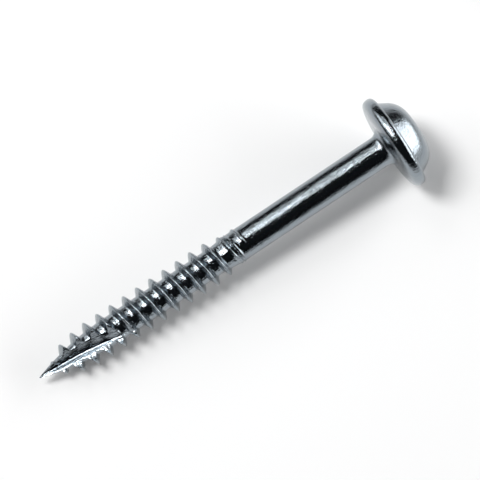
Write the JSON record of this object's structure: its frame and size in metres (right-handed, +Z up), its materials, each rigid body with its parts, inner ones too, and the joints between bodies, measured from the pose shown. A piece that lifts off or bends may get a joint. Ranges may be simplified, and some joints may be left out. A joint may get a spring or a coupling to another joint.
{
  "type": "pocket hole screw",
  "caption": "Self-drilling wood screw with a wide washer flange under a domed square-drive head, plain shank, coarse helical thread and a fluted point.",
  "frame": {"origin": "centre of the footprint at table level, with the screw lying as it comes to rest", "axes": "+X along the length towards the head, +Z up; the screw's own axis climbs about 4.6 degrees from the point to the head"},
  "size_m": [0.0414, 0.0092, 0.0092],
  "materials": {
    "zinc_plated_steel": "bright zinc plating, clear and slightly blue"
  },
  "bodies": {
    "root": {"pocket_hole_screw": "zinc_plated_steel"}
  },
  "joints": []
}
